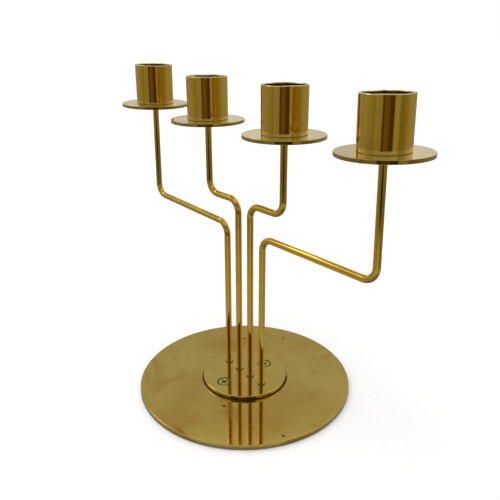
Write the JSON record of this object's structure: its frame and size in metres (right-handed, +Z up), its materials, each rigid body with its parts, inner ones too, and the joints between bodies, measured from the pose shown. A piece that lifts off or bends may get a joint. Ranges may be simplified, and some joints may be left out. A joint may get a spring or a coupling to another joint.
{
  "type": "tabletop candelabra",
  "caption": "Brass candelabra: bent rods in a row on a round base, each with a drip pan and a straight cup for a candle, and each swivelling about its foot.",
  "frame": {"origin": "centre of the base, on the surface that it stands on", "axes": "+Z up, +X along the row of rods, to the right when the plate screws lie one in front of the rods and one behind"},
  "size_m": [0.2448, 0.1394, 0.2008],
  "materials": {
    "base_brass": "polished, blotched with old tarnish",
    "plate_brass": "polished, cleaner than the base",
    "rod_brass": "polished bright",
    "pan_brass": "polished, faint turning marks",
    "cup_brass": "polished, faint turning marks",
    "nut_brass": "machined, dull",
    "screw_metal": "satin, pale plated brass",
    "collar_steel": "machined",
    "washer_steel": "spring steel",
    "felt": "pressed grey felt"
  },
  "bodies": {
    "stand": {"base_disc": "base_brass", "base_felt": "felt", "rod_plate": "plate_brass", "plate_screws": "screw_metal", "swivel_washers": "washer_steel"},
    "outer_left_arm": {"outer_left_rod": "rod_brass", "outer_left_foot_collar": "collar_steel", "outer_left_drip_pan": "pan_brass", "outer_left_candle_cup": "cup_brass", "outer_left_cup_nut": "nut_brass"},
    "inner_left_arm": {"inner_left_rod": "rod_brass", "inner_left_foot_collar": "collar_steel", "inner_left_drip_pan": "pan_brass", "inner_left_candle_cup": "cup_brass", "inner_left_cup_nut": "nut_brass"},
    "inner_right_arm": {"inner_right_rod": "rod_brass", "inner_right_foot_collar": "collar_steel", "inner_right_drip_pan": "pan_brass", "inner_right_candle_cup": "cup_brass", "inner_right_cup_nut": "nut_brass"},
    "outer_right_arm": {"outer_right_rod": "rod_brass", "outer_right_foot_collar": "collar_steel", "outer_right_drip_pan": "pan_brass", "outer_right_candle_cup": "cup_brass", "outer_right_cup_nut": "nut_brass"}
  },
  "joints": [
    {"name": "outer_left_swivel", "type": "hinge", "parent": "stand", "child": "outer_left_arm", "pos_m": [-0.0174, 0, 0.0048], "axis": [0, 0, 1], "range_deg": [-85, 85]},
    {"name": "inner_left_swivel", "type": "hinge", "parent": "stand", "child": "inner_left_arm", "pos_m": [-0.0058, 0, 0.0048], "axis": [0, 0, 1], "range_deg": [-50, 50]},
    {"name": "inner_right_swivel", "type": "hinge", "parent": "stand", "child": "inner_right_arm", "pos_m": [0.0058, 0, 0.0048], "axis": [0, 0, 1], "range_deg": [-50, 50]},
    {"name": "outer_right_swivel", "type": "hinge", "parent": "stand", "child": "outer_right_arm", "pos_m": [0.0174, 0, 0.0048], "axis": [0, 0, 1], "range_deg": [-85, 85]}
  ]
}
